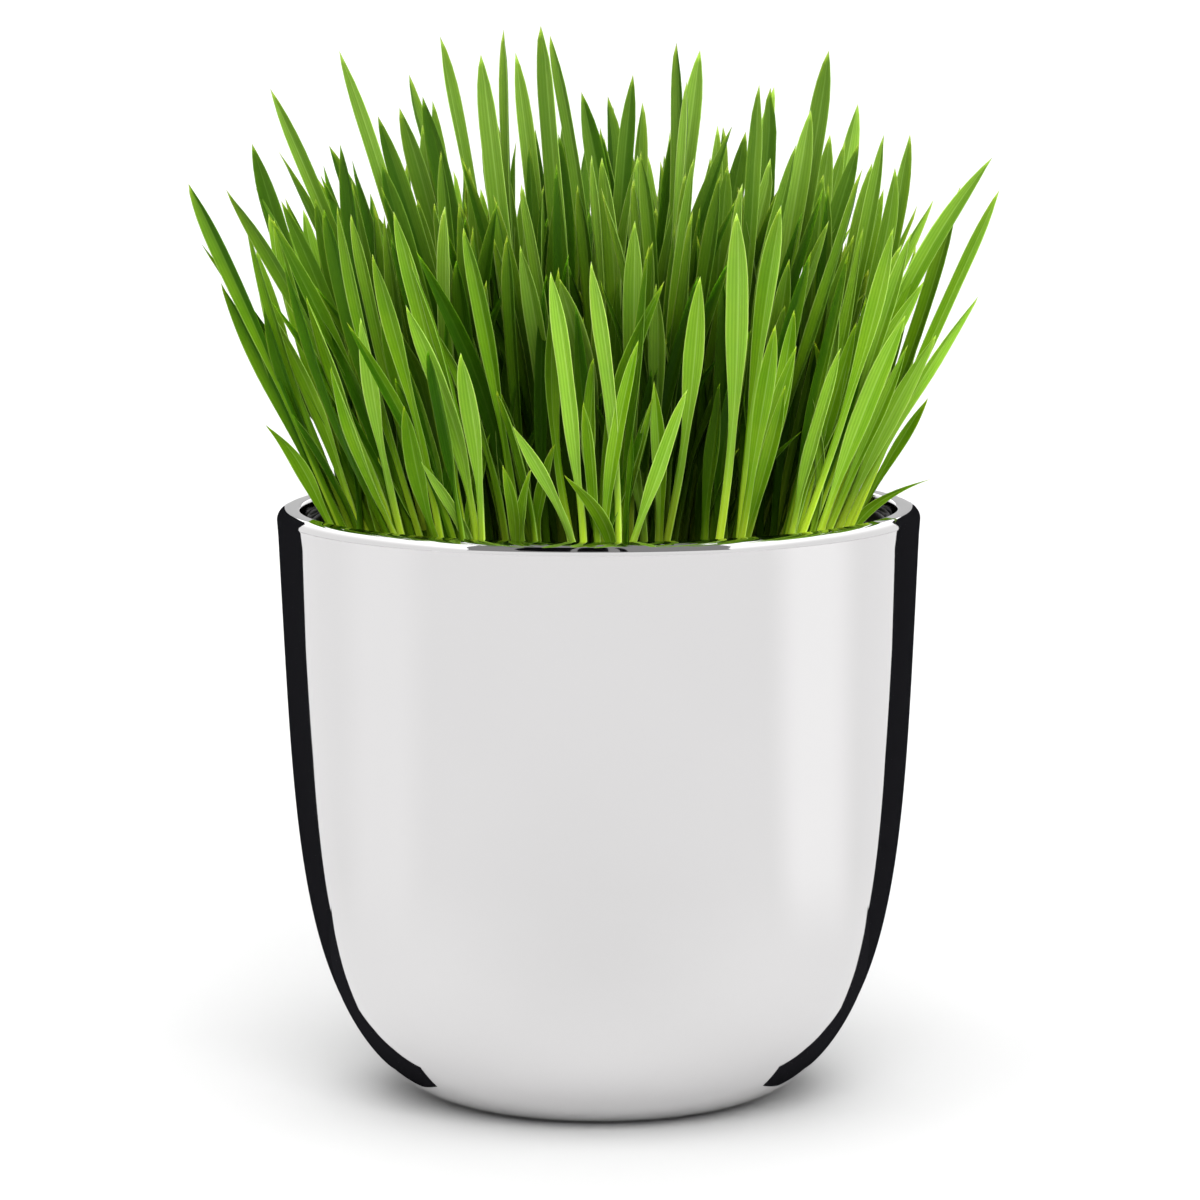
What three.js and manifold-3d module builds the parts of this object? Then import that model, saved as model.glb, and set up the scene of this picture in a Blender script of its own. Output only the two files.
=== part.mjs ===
// Potted cat grass: a mirror-polished metal pot holding a black grow pot, its soil, and bunches of young
// cereal grass that fan out over the rim.
//
// Millimetres, +Z up. The origin is the centre of the pot's flat underside. The front is towards -Y.

import * as THREE from 'three';
import { mergeVertices } from 'three/addons/utils/BufferGeometryUtils.js';
import Module from 'manifold-3d';

const wasm = await Module();
wasm.setup();

// Pot
const potHeight = 120;
const rimRadius = 64.8;
const footRadius = 28; // of the flat disc that the pot stands on
const sideTaper = 5.3; // what the side widens evenly from the foot to the rim, beside its curve
const bottomRoundness = 4.66; // the larger, the lower down the curve of the bottom ends
const potWall = 4.7;
const potFloor = 5;
const rimOuterRounding = 2.3;
const rimInnerRounding = 0.8;

// Grow pot
const growPotMouthRadius = 59; // outside, at the top
const growPotFootRadius = 43;
const growPotWall = 1.2;
const growPotTopBelowRim = 6.5;
const drainHoleRadius = 3.5;
const drainHoleCircle = 27;
const drainHoleCount = 6;

// Soil
const soilBelowRim = 10;
const soilDome = 1.2; // the middle stands this much higher than the edge

// Gaps and facets
const gap = 0.3; // between pieces that touch
const roundSides = 48;
const wallSteps = 11;
const edgeSteps = 2;

// Bunches of grass, set out on a sunflower spiral. They spread with height as rays do from one focus below
// the pot, so each bunch keeps to a cell of its own from the soil to the tips.
const bunchCount = 42;
const bunchFieldRadius = 49.8;
const spreadPerMillimetre = 0.0075;
const cellMargin = 0.2;
const crownRadius = 5.9;
const crownTaper = 0.5; // how much narrower the crown's bottom is
const crownDepth = 9;
const crownProud = 0.8; // above the soil
const crownSides = 6;
const rootDiscRadius = 3.2; // the stems of a bunch start inside this
const rootShare = 0.5; // of a tip's lean, so that the stems of a bunch fan out
const rootStraying = 2.2; // and the most that a stem starts beside that place
const leanReach = 6.4; // of a tip from the middle of its bunch, before the spread
const bunchTurn = 0.8; // the most that a bunch's blades face away from the front, in radians
const bunchTurnStep = 2.4; // between the facings of two bunches that follow each other

// Blades
const bladesPerBunch = 8;
const lowerRings = [0, 0.36, 0.66]; // shares of a blade's length where its section is drawn
const pointRing = 0.55; // and one more in the point, with this share of the point above it
const rootSink = 3;
const sheathWidth = 1.6;
const sheathDepth = 1.3;
const bladeDepth = 1.05; // of the fold, from the blade's edges to its midrib
const openings = [0.26, 0.48]; // shares of the length at which the sheath may start to open
const openingLength = 0.32; // of the length, until the leaf is as wide as it gets
const bowReach = 2.0; // the most that a blade bows to a side, before the spread
const pointLength = 17; // of the long point in which a blade ends
const longestPoint = 0.4; // and on a short blade the most of its length that is point
const pointBluntness = 2.6; // the larger, the more of the point is nearly as wide as the leaf
const narrowest = 2.7;
const widest = 4.3;
const tallestAboveRim = 80; // a blade that the outline doesn't set, in the middle of the pot
const tallestDrop = 16; // how much less that is at the pot's wall
const shortestShare = 0.38; // of the tallest
const randomSeed = 20611;
const placingAttempts = 24; // a blade takes the roomiest of so many random places
const roomEnough = 1.4; // and 1 is as near as two blades can stand without crossing
const comparedHeights = [112, 135, 152, 168]; // where blades of a bunch are kept apart

// Where the grass was measured: the photograph's scale, and the view that it was taken from
const photoScale = 0.2017; // millimetres a pixel at the pot's axis
const photoRimCentre = [598.8, 505.4];
const viewDistance = 1100;
const viewElevation = THREE.MathUtils.degToRad(6.6);
const frontDepths = [-84, -48]; // y of the tips of the front blades
const outlineDepths = [-30, 45];
const depthStep = 3;
const frontReach = 57; // of the front tips from the pot's axis, before the spread
const outlineReach = 52;
const rimNearness = 0.95; // what a pixel at the front of the rim measures, against one at the axis
const straying = 3; // how many blades in a bunch weigh as much as a tip 1 mm beyond its reach
const crowding = 3; // how many blades in a bunch weigh as much as one that crosses another

// Tips of the blades that make the outline against the white, x and y in pixels, left to right, and for a
// blade that arches out over the rim how strongly it does
const outlineTips = [
  [192, 185], [229, 191], [256, 146], [275, 92], [278, 216], [223, 283], [266, 424, 4], [333, 148], [343, 55],
  [346, 147], [377, 213], [381, 119], [395, 234], [402, 111], [410, 78], [425, 100], [436, 104], [444, 41],
  [483, 59], [494, 108], [498, 184], [505, 34], [518, 57], [525, 191], [542, 31], [551, 40], [566, 185],
  [568, 105], [583, 96], [607, 100], [614, 110], [634, 79], [640, 154], [644, 106], [652, 179], [676, 48],
  [686, 85], [700, 55], [718, 129], [724, 130], [755, 89], [767, 92], [774, 91], [794, 239], [795, 148],
  [810, 114], [811, 187], [821, 177], [827, 56], [829, 138], [843, 233], [844, 145], [857, 108], [882, 138],
  [893, 171], [909, 138], [923, 283], [928, 399], [931, 480, 4], [933, 202], [936, 336], [946, 220], [978, 298],
  [990, 161, 3], [997, 193],
];

// Blades that stand in front: tip x, tip y, foot x at the rim, and width, in pixels
const frontBlades = [
  [421, 461, 485, 13], [564, 475, 611, 16], [555, 444, 577, 14], [513, 426, 512, 17], [503, 465, 500, 12],
  [461, 353, 512, 24], [559, 278, 624, 26], [591, 263, 620, 19], [487, 281, 478, 15], [362, 318, 404, 18],
  [383, 290, 456, 17], [407, 306, 485, 20], [736, 215, 715, 22], [780, 208, 740, 21], [775, 326, 735, 18],
  [785, 386, 750, 16], [446, 208, 480, 18], [618, 415, 643, 16], [654, 382, 668, 15], [687, 390, 693, 17],
  [636, 294, 640, 20], [656, 285, 672, 18], [700, 278, 697, 20], [635, 223, 628, 20], [521, 247, 540, 19],
  [551, 273, 548, 18], [374, 255, 396, 18], [794, 311, 764, 17], [796, 347, 780, 16], [531, 469, 528, 12],
];

// A repeatable run of numbers between 0 and 1
function seededRandom(seed) {
  let state = seed;
  return () => {
    state = (state * 48271) % 2147483647;
    return state / 2147483647;
  };
}

// Half-profile of the pot's outside or inside: from a flat foot it turns up into a nearly straight side
function wallRadius(radiusAtFoot, radiusAtTop, bottomHeight, height) {
  const share = THREE.MathUtils.clamp((height - bottomHeight) / (potHeight - bottomHeight), 0, 1);
  const curve = Math.sqrt(1 - (1 - share) ** bottomRoundness);
  return radiusAtFoot + (radiusAtTop - sideTaper - radiusAtFoot) * curve + sideTaper * share;
}

function outsideRadius(height) {
  return wallRadius(footRadius, rimRadius, 0, height);
}

function insideRadius(height) {
  return wallRadius(footRadius - potWall / 2, rimRadius - potWall, potFloor, height);
}

// Heights for a profile, close together where the bottom turns and wide apart up the side
function profileHeights(bottomHeight, topHeight) {
  const heights = [];
  for (let step = 0; step < wallSteps; step += 1) {
    heights.push(bottomHeight + (topHeight - bottomHeight) * (step / wallSteps) ** 2);
  }
  return heights;
}

// A quarter turn of a rounded edge, from the side to the top or from the top to the side
function roundedEdge(centreRadius, centreHeight, rounding, fromAngle, toAngle) {
  const points = [];
  for (let step = 0; step <= edgeSteps; step += 1) {
    const angle = THREE.MathUtils.lerp(fromAngle, toAngle, step / edgeSteps);
    const radius = centreRadius + rounding * Math.cos(angle);
    points.push([radius, centreHeight + rounding * Math.sin(angle)]);
  }
  return points;
}

// A solid of revolution about Z from [radius, height] points, from the axis round the outside to the axis
function turned(points) {
  const profile = points.map(([radius, height]) => new THREE.Vector2(radius, height));
  return new THREE.LatheGeometry(profile, roundSides).rotateX(Math.PI / 2);
}

function toSolid(geometry) {
  const bare = geometry.clone();
  bare.deleteAttribute('normal');
  bare.deleteAttribute('uv');
  const merged = mergeVertices(bare, 1e-4);
  const corners = merged.index.array;
  const triangles = [];
  for (let i = 0; i < corners.length; i += 3) {
    const [a, b, c] = [corners[i], corners[i + 1], corners[i + 2]];
    if (a !== b && b !== c && c !== a) {
      triangles.push(a, b, c);
    }
  }
  const vertProperties = new Float32Array(merged.attributes.position.array);
  const triVerts = new Uint32Array(triangles);
  return new wasm.Manifold(new wasm.Mesh({ numProp: 3, vertProperties, triVerts }));
}

// The largest body alone: hollows that the union seals are filled, and loose scraps are dropped
function wholeBody(solid) {
  const bodies = solid.decompose();
  return bodies.reduce((largest, body) => (body.volume() > largest.volume() ? body : largest));
}

function toGeometry(solid) {
  const mesh = wholeBody(solid).getMesh();
  const geometry = new THREE.BufferGeometry();
  geometry.setAttribute('position', new THREE.BufferAttribute(mesh.vertProperties, 3));
  geometry.setIndex(new THREE.BufferAttribute(mesh.triVerts, 1));
  geometry.computeVertexNormals();
  return geometry;
}

function upright(radiusTop, radiusBottom, bottomHeight, height, sides, x, y) {
  const geometry = new THREE.CylinderGeometry(radiusTop, radiusBottom, height, sides);
  return geometry.rotateX(Math.PI / 2).translate(x, y, bottomHeight + height / 2);
}

// Pot
function potGeometry() {
  const outerSide = potHeight - rimOuterRounding;
  const innerSide = potHeight - rimInnerRounding;
  const points = [[0, 0]];
  for (const height of profileHeights(0, outerSide)) {
    points.push([outsideRadius(height), height]);
  }
  points.push(...roundedEdge(rimRadius - rimOuterRounding, outerSide, rimOuterRounding, 0, Math.PI / 2));
  const innerCentre = rimRadius - potWall + rimInnerRounding;
  points.push(...roundedEdge(innerCentre, innerSide, rimInnerRounding, Math.PI / 2, Math.PI));
  const insideHeights = [...profileHeights(potFloor, innerSide), growPotBottom];
  for (const height of insideHeights.sort((low, high) => high - low)) {
    points.push([insideRadius(height), height]);
  }
  points.push([0, potFloor]);
  return turned(points);
}

// The grow pot's foot stands where the pot's rounded inside has narrowed to it
function growPotBase() {
  let low = potFloor;
  let high = potHeight / 2;
  while (high - low > 0.01) {
    const middle = (low + high) / 2;
    if (insideRadius(middle) < growPotFootRadius + gap) {
      low = middle;
    } else {
      high = middle;
    }
  }
  return high;
}

const growPotBottom = growPotBase();
const growPotTop = potHeight - growPotTopBelowRim;

function growPotOutside(height) {
  const share = (height - growPotBottom) / (growPotTop - growPotBottom);
  return THREE.MathUtils.lerp(growPotFootRadius, growPotMouthRadius, share);
}

function growPotGeometry() {
  const floorTop = growPotBottom + growPotWall;
  const shell = toSolid(turned([
    [0, growPotBottom],
    [growPotFootRadius, growPotBottom],
    [growPotMouthRadius, growPotTop],
    [growPotMouthRadius - growPotWall, growPotTop],
    [growPotOutside(floorTop) - growPotWall, floorTop],
    [0, floorTop],
  ]));
  let drained = shell;
  for (let hole = 0; hole < drainHoleCount; hole += 1) {
    const angle = (hole / drainHoleCount) * 2 * Math.PI;
    const x = drainHoleCircle * Math.cos(angle);
    const y = drainHoleCircle * Math.sin(angle);
    const drill = upright(drainHoleRadius, drainHoleRadius, growPotBottom - 2, growPotWall + 4, 10, x, y);
    drained = drained.subtract(toSolid(drill));
  }
  return toGeometry(drained);
}

// Soil, with a plain hole for the root crown of each bunch
const soilHeight = potHeight - soilBelowRim;

function soilGeometry(bunches) {
  const bottom = growPotBottom + growPotWall + gap;
  const clearance = growPotWall + gap;
  let soil = toSolid(turned([
    [0, bottom],
    [growPotOutside(bottom) - clearance, bottom],
    [growPotOutside(soilHeight - soilDome) - clearance, soilHeight - soilDome],
    [bunchFieldRadius * 0.6, soilHeight],
    [0, soilHeight],
  ]));
  for (const bunch of bunches) {
    soil = soil.subtract(toSolid(crownGeometry(bunch, gap)));
  }
  return toGeometry(soil);
}

// The knot of roots under a bunch. The soil's hole has the same shape, larger by the clearance.
function crownGeometry(bunch, clearance) {
  const bottom = soilHeight - crownDepth - clearance;
  const top = soilHeight + crownProud + (clearance > 0 ? crownDepth : 0);
  const widening = (crownTaper * (top - bottom)) / (crownDepth + crownProud);
  const radiusBottom = crownRadius - crownTaper + clearance;
  return upright(radiusBottom + widening, radiusBottom, bottom, top - bottom, crownSides, bunch.u, bunch.v);
}

// Grass
function spread(height) {
  return 1 + spreadPerMillimetre * (height - soilHeight);
}

function placeBunches() {
  const goldenAngle = Math.PI * (3 - Math.sqrt(5));
  const bunches = [];
  for (let index = 0; index < bunchCount; index += 1) {
    const radius = bunchFieldRadius * Math.sqrt((index + 0.5) / bunchCount);
    const angle = index * goldenAngle;
    const facing = bunchTurn * Math.sin(index * bunchTurnStep);
    bunches.push({ u: radius * Math.cos(angle), v: radius * Math.sin(angle), facing, blades: [] });
  }
  return bunches;
}

// The point at a chosen depth that the view shows at a pixel
function pointAtPixel(pixelX, pixelY, depth) {
  const scale = (photoScale * (viewDistance + depth)) / viewDistance;
  const up = (photoRimCentre[1] - pixelY) * scale;
  const height = (up - depth * Math.sin(viewElevation)) / Math.cos(viewElevation);
  return { x: (pixelX - photoRimCentre[0]) * scale, y: depth, z: potHeight + height };
}

function nearestBunch(bunches, u, v) {
  let nearest = bunches[0];
  for (const bunch of bunches) {
    if (Math.hypot(bunch.u - u, bunch.v - v) < Math.hypot(nearest.u - u, nearest.v - v)) {
      nearest = bunch;
    }
  }
  return nearest;
}

// A point at a random angle round the middle, up to so far away
function drawPoint(between, reach) {
  const angle = between(0, 2 * Math.PI);
  const distance = reach * Math.sqrt(between(0, 1));
  return [distance * Math.cos(angle), distance * Math.sin(angle)];
}

// A stem starts about under its tip, but nearer to the middle of the crown
function rootUnder(lean, straying) {
  const root = lean.map((value, axis) => value * rootShare + straying[axis]);
  const share = Math.min(1, rootDiscRadius / Math.max(Math.hypot(...root), 0.01));
  return root.map((value) => value * share);
}

// Where a blade's middle line lies at a height, from the middle of its bunch, before the spread
function middleAt(blade, height) {
  const bottom = soilHeight - rootSink;
  const share = THREE.MathUtils.clamp((height - bottom) / (blade.tipHeight - bottom), 0, 1);
  const bend = share ** blade.arching;
  const bowed = Math.sin(Math.PI * share);
  return blade.root.map((start, axis) => start + (blade.tip[axis] - start) * bend + blade.bow[axis] * bowed);
}

// How far a blade stands from the others of its bunch, in blade widths or fold depths
function roomBeside(bunch, blade) {
  let room = roomEnough;
  for (const other of bunch.blades) {
    for (const height of comparedHeights) {
      if (height > Math.min(blade.tipHeight, other.tipHeight)) {
        continue;
      }
      const size = spread(height);
      const here = middleAt(blade, height);
      const there = middleAt(other, height);
      const apart = [(there[0] - here[0]) * size, (there[1] - here[1]) * size];
      const facing = (blade.facing + other.facing) / 2;
      const sideways = Math.abs(apart[0] * Math.cos(facing) + apart[1] * Math.sin(facing));
      const behind = Math.abs(apart[1] * Math.cos(facing) - apart[0] * Math.sin(facing));
      const low = height < comparedHeights[1];
      const width = low ? sheathWidth : (blade.width + other.width) / 2;
      room = Math.min(room, Math.max(sideways / width, behind / (bladeDepth + gap)));
    }
  }
  return room;
}

// Of the points on a line of sight, takes the one whose bunch has the fewest blades and the most room
function placeByPixel(bunches, pixelX, pixelY, depths, reach, makeBlade) {
  let best = null;
  for (let depth = depths[0]; depth <= depths[1]; depth += depthStep) {
    const point = pointAtPixel(pixelX, pixelY, depth);
    const u = point.x / spread(point.z);
    const v = point.y / spread(point.z);
    const bunch = nearestBunch(bunches, u, v);
    const blade = makeBlade(bunch, [u - bunch.u, v - bunch.v], point.z);
    const outside = Math.max(0, Math.hypot(u, v) - reach);
    const score = bunch.blades.length + straying * outside - crowding * roomBeside(bunch, blade);
    if (best === null || score < best.score) {
      best = { score, bunch, blade };
    }
  }
  best.bunch.blades.push(best.blade);
}

// What sets one blade apart from another, wherever it grows
function drawHabit(between) {
  return {
    width: between(narrowest, widest),
    opening: between(...openings),
    twist: between(-0.4, 0.4),
    arching: between(1, 1.8),
    bow: drawPoint(between, bowReach),
  };
}

function growBlades(bunches) {
  const random = seededRandom(randomSeed);
  const between = (low, high) => low + (high - low) * random();

  for (const [tipX, tipY, footX, width] of frontBlades) {
    const turn = between(-0.4, 0.4);
    const rootDepth = between(0.2, 1);
    const habit = drawHabit(between);
    placeByPixel(bunches, tipX, tipY, frontDepths, frontReach, (bunch, tip, tipHeight) => {
      const wantedFoot = (footX - photoRimCentre[0]) * photoScale * rimNearness - bunch.u;
      const rootU = THREE.MathUtils.clamp(wantedFoot, -rootDiscRadius, rootDiscRadius);
      const rootV = -rootDepth * Math.sqrt(rootDiscRadius ** 2 - rootU ** 2);
      const facing = bunch.facing / 2 + turn;
      return { ...habit, root: [rootU, rootV], tip, tipHeight, width: width * photoScale, facing };
    });
  }

  for (const [tipX, tipY, arch] of outlineTips) {
    const turn = between(-0.4, 0.4);
    const straying = drawPoint(between, rootStraying);
    const habit = drawHabit(between);
    placeByPixel(bunches, tipX, tipY, outlineDepths, outlineReach, (bunch, tip, tipHeight) => {
      const arching = arch ?? habit.arching;
      const facing = bunch.facing + turn;
      return { ...habit, root: rootUnder(tip, straying), tip, tipHeight, facing, arching };
    });
  }

  for (const bunch of bunches) {
    const fromCentre = Math.hypot(bunch.u, bunch.v) / bunchFieldRadius;
    const tallest = tallestAboveRim - tallestDrop * fromCentre ** 2;
    while (bunch.blades.length < bladesPerBunch) {
      let best = null;
      for (let attempt = 0; attempt < placingAttempts; attempt += 1) {
        const tip = drawPoint(between, leanReach);
        const blade = {
          root: rootUnder(tip, drawPoint(between, rootStraying)),
          tip,
          tipHeight: potHeight + between(shortestShare, 1) * tallest,
          facing: bunch.facing + between(-0.45, 0.45),
          ...drawHabit(between),
        };
        const room = roomBeside(bunch, blade);
        if (best === null || room > best.room) {
          best = { room, blade };
        }
      }
      bunch.blades.push(best.blade);
    }
  }
}

// The share of a blade's length that its point takes
function pointShare(blade) {
  return Math.min(longestPoint, pointLength / (blade.tipHeight - (soilHeight - rootSink)));
}

// Width of a blade at a share of its length: a narrow sheath, then the leaf, then the long point
function bladeWidth(blade, share) {
  const pointed = Math.max(0, 1 - (1 - share) / pointShare(blade));
  const leaf = blade.width * (1 - pointed ** pointBluntness);
  const opened = THREE.MathUtils.smoothstep(share, blade.opening, blade.opening + openingLength);
  return THREE.MathUtils.lerp(Math.min(sheathWidth, leaf), leaf, opened);
}

// Three corners of a blade's level cross-section: its two edges and its midrib. The section slides towards
// the middle of its bunch until it clears the cells of the other bunches.
function bladeSection(bunches, bunch, blade, share) {
  const bottom = soilHeight - rootSink;
  const height = bottom + (blade.tipHeight - bottom) * share;
  const size = spread(height);
  const offset = middleAt(blade, height);
  const angle = blade.facing + blade.twist * (share - 0.5);
  const half = bladeWidth(blade, share) / 2 / size;
  const depth = THREE.MathUtils.lerp(sheathDepth, bladeDepth, Math.min(1, share * 2)) / size;
  const across = [Math.cos(angle) * half, Math.sin(angle) * half];
  const keel = [-Math.sin(angle) * depth, Math.cos(angle) * depth];
  let room = 1;
  for (const other of bunches) {
    const apart = Math.hypot(other.u - bunch.u, other.v - bunch.v);
    if (apart === 0) {
      continue;
    }
    const toOther = [(other.u - bunch.u) / apart, (other.v - bunch.v) / apart];
    const along = (vector) => vector[0] * toOther[0] + vector[1] * toOther[1];
    const own = Math.max(Math.abs(along(across)), along(keel));
    const free = apart / 2 - cellMargin - own;
    if (along(offset) > free) {
      room = Math.min(room, Math.max(0, free / along(offset)));
    }
  }
  const corner = (du, dv) => [
    (bunch.u + offset[0] * room + du) * size,
    (bunch.v + offset[1] * room + dv) * size,
    height,
  ];
  return [
    corner(-across[0], -across[1]),
    corner(across[0], across[1]),
    corner(keel[0], keel[1]),
  ];
}

function bladeGeometry(bunches, bunch, blade) {
  const positions = [];
  const rings = [...lowerRings, 1 - pointRing * pointShare(blade)];
  for (const share of rings) {
    for (const corner of bladeSection(bunches, bunch, blade, share)) {
      positions.push(...corner);
    }
  }
  positions.push(...bladeSection(bunches, bunch, { ...blade, width: 0 }, 1)[0]);
  const triangles = [0, 2, 1];
  const lastRing = rings.length - 1;
  const tipIndex = rings.length * 3;
  for (let ring = 0; ring <= lastRing; ring += 1) {
    for (let side = 0; side < 3; side += 1) {
      const here = ring * 3 + side;
      const next = ring * 3 + ((side + 1) % 3);
      if (ring === lastRing) {
        triangles.push(here, next, tipIndex);
      } else {
        triangles.push(here, next, next + 3);
        triangles.push(here, next + 3, here + 3);
      }
    }
  }
  const geometry = new THREE.BufferGeometry();
  geometry.setAttribute('position', new THREE.Float32BufferAttribute(positions, 3));
  geometry.setIndex(triangles);
  return geometry;
}

function bunchGeometry(bunches, bunch) {
  let solid = toSolid(crownGeometry(bunch, 0));
  for (const blade of bunch.blades) {
    solid = solid.add(toSolid(bladeGeometry(bunches, bunch, blade)));
  }
  return toGeometry(solid);
}

// Assembly
const plant = new THREE.Group();

function addPiece(name, geometry, color, roughness, metalness) {
  const material = new THREE.MeshStandardMaterial({ color, roughness, metalness });
  const mesh = new THREE.Mesh(geometry, material);
  mesh.name = name;
  plant.add(mesh);
}

const bunches = placeBunches();
growBlades(bunches);

addPiece('pot', potGeometry(), 0xd8d8da, 0.05, 1);
addPiece('grow_pot', growPotGeometry(), 0x1c1c1e, 0.6, 0);
addPiece('soil', soilGeometry(bunches), 0x2b1f17, 0.95, 0);
bunches.forEach((bunch, index) => {
  const number = String(index + 1).padStart(2, '0');
  addPiece(`grass_bunch_${number}`, bunchGeometry(bunches, bunch), 0x5b9a1f, 0.45, 0);
});

export default plant;
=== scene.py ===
import math

import bpy
import numpy as np
from mathutils import Matrix, Vector, noise


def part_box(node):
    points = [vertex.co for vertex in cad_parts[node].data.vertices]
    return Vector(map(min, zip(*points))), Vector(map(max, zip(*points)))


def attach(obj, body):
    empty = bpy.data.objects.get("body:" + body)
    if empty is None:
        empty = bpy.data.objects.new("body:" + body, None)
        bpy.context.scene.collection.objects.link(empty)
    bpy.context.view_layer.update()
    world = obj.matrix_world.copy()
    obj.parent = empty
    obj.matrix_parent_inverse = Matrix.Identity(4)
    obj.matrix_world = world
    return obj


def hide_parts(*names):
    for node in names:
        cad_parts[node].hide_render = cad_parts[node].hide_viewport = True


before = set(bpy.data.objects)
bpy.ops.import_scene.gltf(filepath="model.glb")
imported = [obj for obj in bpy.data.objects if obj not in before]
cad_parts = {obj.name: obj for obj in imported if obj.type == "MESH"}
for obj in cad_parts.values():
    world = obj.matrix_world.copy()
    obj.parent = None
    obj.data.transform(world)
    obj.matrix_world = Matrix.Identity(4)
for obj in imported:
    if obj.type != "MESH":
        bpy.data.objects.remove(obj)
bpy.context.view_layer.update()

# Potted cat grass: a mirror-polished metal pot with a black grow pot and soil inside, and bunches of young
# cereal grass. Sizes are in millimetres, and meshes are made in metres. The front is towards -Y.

MM = 0.001

# Pot, from the frame, with the form of its side
pot_low, pot_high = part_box("pot")
POT_HEIGHT = round(pot_high.z / MM, 3)
RIM_RADIUS = round(pot_high.x / MM, 3)
FOOT_RADIUS = 28.0
SIDE_TAPER = 5.3
BOTTOM_ROUNDNESS = 4.66
POT_WALL = 4.7
POT_FLOOR = 5.0
RIM_OUTER_ROUNDING = 2.3
RIM_INNER_ROUNDING = 0.8
TURNED_SIDES = 256
SIDE_STEPS = 72
ROUNDING_STEPS = 8

# Grow pot, from the frame
grow_low, grow_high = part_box("grow_pot")
GROW_BOTTOM = grow_low.z / MM
GROW_TOP = grow_high.z / MM
GROW_MOUTH_RADIUS = grow_high.x / MM
GROW_FOOT_RADIUS = 43.0
GROW_WALL = 1.2
GROW_LIP = 0.7
GROW_LIP_HEIGHT = 2.0
GROW_LIP_CURL = 0.3
GROW_FOOT_ROUNDING = 1.0
GROW_FOOT_FLARE = 0.1
DRAIN_HOLE_RADIUS = 3.5
DRAIN_HOLE_CIRCLE = 27.0
DRAIN_HOLE_COUNT = 6
DRAIN_HOLE_SIDES = 24
DRILL_OVERRUN = 2.0

# Soil
soil_low, soil_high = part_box("soil")
SOIL_HEIGHT = soil_high.z / MM
SOIL_BOTTOM = soil_low.z / MM
SOIL_DOME = 1.2
GAP = 0.3
SOIL_RINGS = 64
SOIL_SIDES = 160
SOIL_RELIEF = 0.55
SOIL_LUMPS_PER_MILLIMETRE = 0.45
SOIL_LUMPS_FALLOFF = 1.0
SOIL_LUMPS_GETTING_FINER = 2.0
SOIL_LUMPS_LAYERS = 4
SOIL_LUMPS_MIDDLE = 0.6
CRUMB_COUNT = 900
CRUMB_SIZES = (0.5, 1.5)
CRUMB_UNEVENNESS = 0.3
CRUMB_FLATNESS = 0.6
SOIL_SEED = 7219

# Bunches of grass on a sunflower spiral, which spread with height as rays do from one focus below the pot
BUNCH_COUNT = 42
BUNCH_FIELD_RADIUS = 49.8
SPREAD_PER_MILLIMETRE = 0.0075
CELL_MARGIN = 0.2
NEIGHBOUR_REACH = 24.0
ROOT_DISC_RADIUS = 3.2
ROOT_SHARE = 0.5
ROOT_STRAYING = 2.2
LEAN_REACH = 6.4
BUNCH_TURN = 0.8
BUNCH_TURN_STEP = 2.4

# Root crown of each bunch, and the seed husks that lie on it
CROWN_RADIUS = 5.6
CROWN_PROUD = 0.8
CROWN_DEPTH = 9.0
CROWN_SIDES = 24
CROWN_UNEVENNESS = 0.22
HUSKS_PER_CROWN = 26
HUSK_LENGTHS = (2.6, 5.0)
HUSK_SLIMNESS = 0.15
HUSK_TILT = 0.3
HUSK_SIDES = 8

# Blades
BLADES_PER_BUNCH = 8
ROOT_SINK = 3.0
SHEATH_WIDTH = 1.6
SHEATH_DEPTH = 1.3
BLADE_DEPTH = 1.05
OPENINGS = (0.26, 0.48)
OPENING_LENGTH = 0.32
ARCHINGS = (1, 1.8)
TURN = 0.4
INNER_TURN = 0.45
TWIST = 0.4
BOW_REACH = 2.0
POINT_LENGTH = 17.0
LONGEST_POINT = 0.4
POINT_BLUNTNESS = 2.6
NARROWEST = 2.7
WIDEST = 4.3
TALLEST_ABOVE_RIM = 80.0
TALLEST_DROP = 16.0
SHORTEST_SHARE = 0.38
RANDOM_SEED = 20611
PLACING_ATTEMPTS = 24
ROOM_ENOUGH = 1.4
COMPARED_HEIGHTS = (112, 135, 152, 168)

# Blades that only the finer model has: they fill the bunches and lean over their neighbours
EXTRA_BLADES = 9
EXTRA_SEED = 5081
EXTRA_SHARES = (0.2, 0.98)
EXTRA_THINNING = 0.6
EXTRA_LEAN = 11.0
EXTRA_ROOT_REACH = 4.6
EXTRA_TURN = 0.9
EXTRA_BOW = 3.0
EXTRA_POINT_LENGTH = 28.0

# The photograph's view: pixels are of 1200 by 1200
PHOTO_SIZE = 1200
PHOTO_SCALE = 0.2017
PHOTO_RIM_CENTRE = (598.8, 505.4)
VIEW_DISTANCE = 1100.0
VIEW_ELEVATION = math.radians(6.6)
VIEW_ROLL = math.radians(0.14)
SENSOR_WIDTH = 36.0
FRONT_DEPTHS = (-84, -48)
OUTLINE_DEPTHS = (-30, 45)
DEPTH_STEP = 3
FRONT_REACH = 57.0
OUTLINE_REACH = 52.0
RIM_NEARNESS = 0.95
STRAYING = 3
CROWDING = 3

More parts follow.
